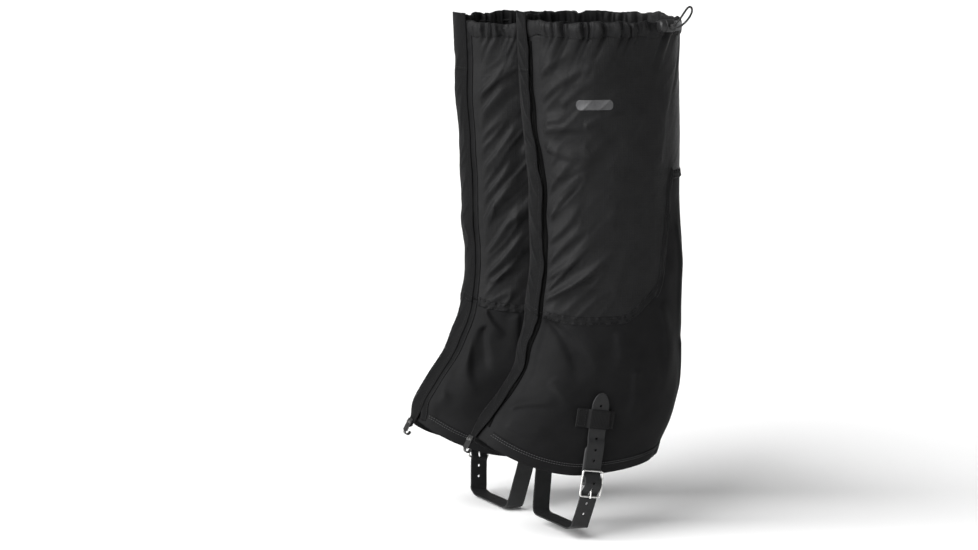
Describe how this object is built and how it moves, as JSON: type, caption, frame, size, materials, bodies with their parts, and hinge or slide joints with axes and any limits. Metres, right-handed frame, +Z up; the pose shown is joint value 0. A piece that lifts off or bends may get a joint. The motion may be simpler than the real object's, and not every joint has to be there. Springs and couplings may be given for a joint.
{
  "type": "gaiters",
  "caption": "Pair of tall front-closing leg gaiters with a drawcord rim, a strip closure with a lace hook, and a buckled strap under the foot.",
  "frame": {"origin": "middle of the left instep strap's upper face, under the arch of the foot", "axes": "+Z up the leg, -X towards the toes, -Y towards the outer side of the left leg"},
  "size_m": [0.2393, 0.307, 0.5299],
  "materials": {
    "ripstop": "thin coated ripstop with a satin sheen",
    "pack_cloth": "matte heavy pack cloth",
    "webbing": "matte woven strip",
    "elastic": "ribbed elastic",
    "fastener_tape": "hook and loop tape",
    "cord": "braided elastic cord",
    "coated_strap": "smooth coated webbing",
    "dark_plastic": "moulded",
    "grey_plastic": "moulded, ribbed",
    "black_metal": "black coated",
    "steel": "nickel plated wire"
  },
  "bodies": {
    "left_gaiter": {"left_upper_panel": "ripstop", "left_lower_panel": "pack_cloth", "left_seam_band": "pack_cloth", "left_top_casing": "ripstop", "left_hem_band": "pack_cloth", "left_heel_elastic": "elastic", "left_closure_seam": "webbing", "left_loop_tape": "fastener_tape", "left_drawcord": "cord", "left_drawcord_loop": "cord", "left_instep_strap": "coated_strap", "left_strap_anchor": "webbing", "left_strap_rivets": "steel", "left_strap_keeper": "webbing", "left_buckle_tab": "webbing"},
    "left_flap_upper": {"left_flap_top": "webbing", "left_flap_upper": "webbing", "left_hook_tape_upper": "fastener_tape"},
    "left_flap_lower": {"left_flap_lower": "webbing", "left_hook_tape_lower": "fastener_tape", "left_lace_hook": "black_metal", "left_lace_hook_rivets": "steel"},
    "left_cord_lock": {"left_cord_lock_barrel": "dark_plastic", "left_cord_lock_spring": "steel"},
    "left_plunger": {"left_cord_lock_plunger": "grey_plastic"},
    "left_buckle": {"left_buckle_frame": "steel"},
    "left_prong": {"left_buckle_prong": "steel"},
    "right_gaiter": {"right_upper_panel": "ripstop", "right_lower_panel": "pack_cloth", "right_seam_band": "pack_cloth", "right_top_casing": "ripstop", "right_hem_band": "pack_cloth", "right_heel_elastic": "elastic", "right_closure_seam": "webbing", "right_loop_tape": "fastener_tape", "right_drawcord": "cord", "right_drawcord_loop": "cord", "right_instep_strap": "coated_strap", "right_strap_anchor": "webbing", "right_strap_rivets": "steel", "right_strap_keeper": "webbing", "right_buckle_tab": "webbing"},
    "right_flap_upper": {"right_flap_top": "webbing", "right_flap_upper": "webbing", "right_hook_tape_upper": "fastener_tape"},
    "right_flap_lower": {"right_flap_lower": "webbing", "right_hook_tape_lower": "fastener_tape", "right_lace_hook": "black_metal", "right_lace_hook_rivets": "steel"},
    "right_cord_lock": {"right_cord_lock_barrel": "dark_plastic", "right_cord_lock_spring": "steel"},
    "right_plunger": {"right_cord_lock_plunger": "grey_plastic"},
    "right_buckle": {"right_buckle_frame": "steel"},
    "right_prong": {"right_buckle_prong": "steel"}
  },
  "joints": [
    {"name": "left_flap_upper_open", "type": "hinge", "parent": "left_gaiter", "child": "left_flap_upper", "pos_m": [-0.033, 0.0136, 0.222], "axis": [0.046, 0, -0.9989], "range_deg": [0, 100]},
    {"name": "left_flap_lower_open", "type": "hinge", "parent": "left_gaiter", "child": "left_flap_lower", "pos_m": [-0.0335, 0.0134, 0.222], "axis": [-0.4301, 0, -0.9028], "range_deg": [0, 100]},
    {"name": "left_cord_lock_slide", "type": "slide", "parent": "left_gaiter", "child": "left_cord_lock", "axis": [0, -1, 0], "range_m": [0, 0.004]},
    {"name": "left_plunger_press", "type": "slide", "parent": "left_cord_lock", "child": "left_plunger", "axis": [-1, 0, 0], "range_m": [0, 0.0025], "stiffness_N_per_m": 300, "springref_m": -0.003, "deforming": ["left_cord_lock_spring"]},
    {"name": "left_buckle_rock", "type": "hinge", "parent": "left_gaiter", "child": "left_buckle", "pos_m": [0.00744, -0.0572, 0.047], "axis": [0.9877, 0, -0.1564], "range_deg": [-3, 3]},
    {"name": "left_prong_lift", "type": "hinge", "parent": "left_buckle", "child": "left_prong", "pos_m": [0.00744, -0.0572, 0.047], "axis": [-0.9877, 0, 0.1564], "range_deg": [0, 6]},
    {"name": "right_flap_upper_open", "type": "hinge", "parent": "right_gaiter", "child": "right_flap_upper", "pos_m": [-0.033, 0.1364, 0.214], "axis": [-0.046, 0, 0.9989], "range_deg": [0, 100]},
    {"name": "right_flap_lower_open", "type": "hinge", "parent": "right_gaiter", "child": "right_flap_lower", "pos_m": [-0.0335, 0.1366, 0.214], "axis": [0.4301, 0, 0.9028], "range_deg": [0, 100]},
    {"name": "right_cord_lock_slide", "type": "slide", "parent": "right_gaiter", "child": "right_cord_lock", "axis": [0, 1, 0], "range_m": [0, 0.004]},
    {"name": "right_plunger_press", "type": "slide", "parent": "right_cord_lock", "child": "right_plunger", "axis": [-1, 0, 0], "range_m": [0, 0.0025], "stiffness_N_per_m": 300, "springref_m": -0.003, "deforming": ["right_cord_lock_spring"]},
    {"name": "right_buckle_rock", "type": "hinge", "parent": "right_gaiter", "child": "right_buckle", "pos_m": [0.00744, 0.2072, 0.039], "axis": [-0.9877, 0, 0.1564], "range_deg": [-3, 3]},
    {"name": "right_prong_lift", "type": "hinge", "parent": "right_buckle", "child": "right_prong", "pos_m": [0.00744, 0.2072, 0.039], "axis": [0.9877, 0, -0.1564], "range_deg": [0, 6]},
    {"name": "pair_spread", "type": "slide", "parent": "left_gaiter", "child": "right_gaiter", "axis": [0, 1, 0], "range_m": [0, 0.2]}
  ],
  "couplings": [
    {"joint": "left_flap_lower_open", "follows": "left_flap_upper_open", "ratio": 1},
    {"joint": "right_flap_lower_open", "follows": "right_flap_upper_open", "ratio": 1}
  ]
}
